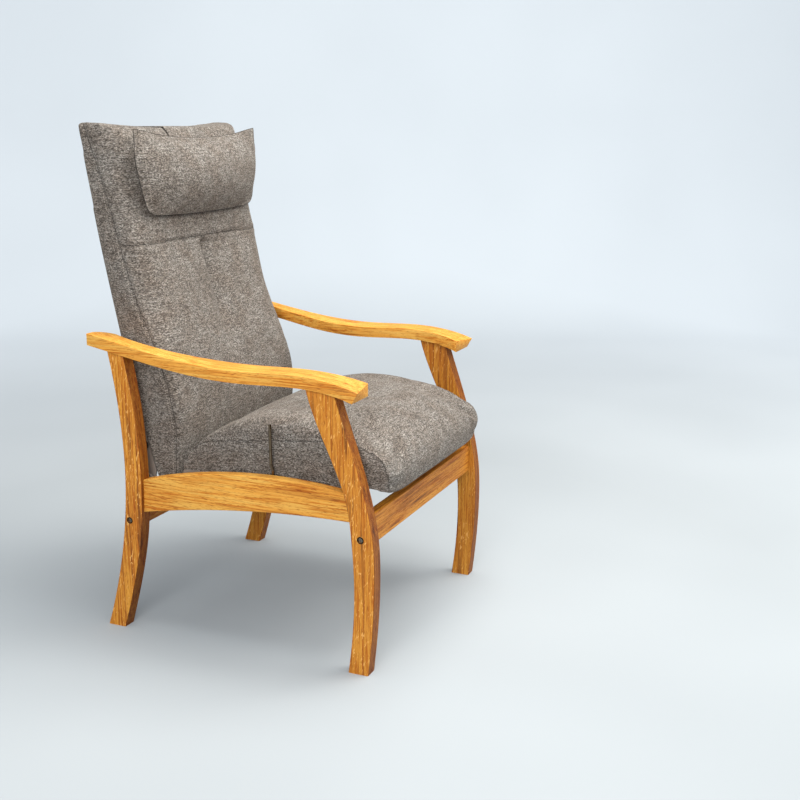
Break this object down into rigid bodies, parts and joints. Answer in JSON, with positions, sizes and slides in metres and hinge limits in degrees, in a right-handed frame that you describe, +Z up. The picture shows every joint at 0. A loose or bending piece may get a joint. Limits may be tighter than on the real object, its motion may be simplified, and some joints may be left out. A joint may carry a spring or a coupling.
{
  "type": "high-back reclining armchair",
  "caption": "Reclining armchair with a curved oak frame, swept legs, padded seat and tall back, neck pillow on a strap and a side release lever.",
  "frame": {"origin": "on the floor, under the middle of the chair's bounding box", "axes": "+Z up, the chair faces -Y, +X towards the sitter's left hand"},
  "size_m": [0.67, 0.7708, 1.1497],
  "materials": {
    "oak": "satin lacquered oak",
    "beech": "raw beech",
    "upholstery": "grey-brown melange woven cloth over foam",
    "lining": "thin black lining cloth",
    "elastic": "elastic webbing",
    "bolt_steel": "zinc-plated steel",
    "spring_steel": "oiled spring steel",
    "black_steel": "black powder coat",
    "chrome": "polished",
    "black_plastic": "moulded nylon"
  },
  "bodies": {
    "frame": {"arm_dowels": "beech", "arm_left": "oak", "arm_right": "oak", "barrel_nuts": "bolt_steel", "cable_stop": "black_plastic", "cross_bar_screws": "bolt_steel", "frame_bolts": "bolt_steel", "front_cross_bar": "black_steel", "front_leg_left": "oak", "front_leg_right": "oak", "front_rail": "oak", "gas_front_pin": "bolt_steel", "gas_spring_bracket": "black_steel", "guide_blocks": "black_plastic", "lever_screw": "bolt_steel", "pivot_pins": "bolt_steel", "pivot_spacers": "bolt_steel", "rail_dowels": "beech", "rear_cross_bar": "black_steel", "rear_leg_left": "oak", "rear_leg_right": "oak", "rear_rail": "oak", "release_cable": "black_plastic", "side_rail_left": "oak", "side_rail_right": "oak"},
    "back": {"back_cushion": "upholstery", "back_rear_cover": "lining", "back_stile_left": "beech", "back_stile_right": "beech", "back_bottom_rail": "beech", "back_middle_rail": "beech", "back_top_rail": "beech", "back_webbing": "elastic", "hinge_plate_left": "black_steel", "hinge_plate_right": "black_steel", "hinge_screws": "bolt_steel", "follower_pins": "bolt_steel", "gas_spring_yoke": "black_steel", "gas_rear_pin": "bolt_steel", "pillow_strap": "upholstery"},
    "seat": {"seat_cushion": "upholstery", "seat_frame_side_left": "beech", "seat_frame_side_right": "beech", "seat_frame_front": "beech", "seat_frame_rear": "beech", "seat_springs": "spring_steel", "seat_bottom_cloth": "lining", "seat_runner_left": "beech", "seat_runner_right": "beech", "follower_bar_left": "black_steel", "follower_bar_right": "black_steel", "follower_bolts": "bolt_steel"},
    "gas_spring_rod": {"gas_rod": "chrome", "release_head": "black_plastic"},
    "gas_spring_tube": {"gas_cylinder": "black_steel"},
    "lever": {"release_lever": "chrome"},
    "wire": {"release_wire": "spring_steel"},
    "pillow": {"neck_pillow": "upholstery"},
    "counterweight": {"pillow_counterweight": "upholstery"}
  },
  "joints": [
    {"name": "recline", "type": "hinge", "parent": "frame", "child": "back", "pos_m": [0, 0.2515, 0.432], "axis": [-1, 0, 0], "range_deg": [0, 22]},
    {"name": "seat_slide", "type": "slide", "parent": "frame", "child": "seat", "axis": [0, -1, 0], "range_m": [0, 0.0304]},
    {"name": "gas_spring_swing", "type": "hinge", "parent": "frame", "child": "gas_spring_rod", "pos_m": [0, 0.0235, 0.325], "axis": [1, 0, 0], "range_deg": [0, 2.42]},
    {"name": "gas_spring_stroke", "type": "slide", "parent": "gas_spring_rod", "child": "gas_spring_tube", "axis": [0, -1, 0], "range_m": [0, 0.04]},
    {"name": "lever_pull", "type": "hinge", "parent": "frame", "child": "lever", "pos_m": [-0.287, -0.0945, 0.374], "axis": [-1, 0, 0], "range_deg": [0, 12], "stiffness_Nm_per_rad": 1.5, "springref_deg": -11.46},
    {"name": "wire_pull", "type": "slide", "parent": "frame", "child": "wire", "axis": [0, -1, 0], "range_m": [0, 0.0047]},
    {"name": "pillow_height", "type": "slide", "parent": "back", "child": "pillow", "axis": [0, -0.1867, -0.9824], "range_m": [0, 0.1]},
    {"name": "counterweight_height", "type": "slide", "parent": "back", "child": "counterweight", "axis": [0, 0.1705, 0.9854], "range_m": [0, 0.1]}
  ],
  "couplings": [
    {"joint": "seat_slide", "follows": "recline", "m_per_rad": 0.0789},
    {"joint": "gas_spring_swing", "follows": "recline", "ratio": 0.1095},
    {"joint": "gas_spring_stroke", "follows": "recline", "m_per_rad": 0.1037},
    {"joint": "wire_pull", "follows": "lever_pull", "m_per_rad": 0.022},
    {"joint": "counterweight_height", "follows": "pillow_height", "ratio": 1}
  ]
}
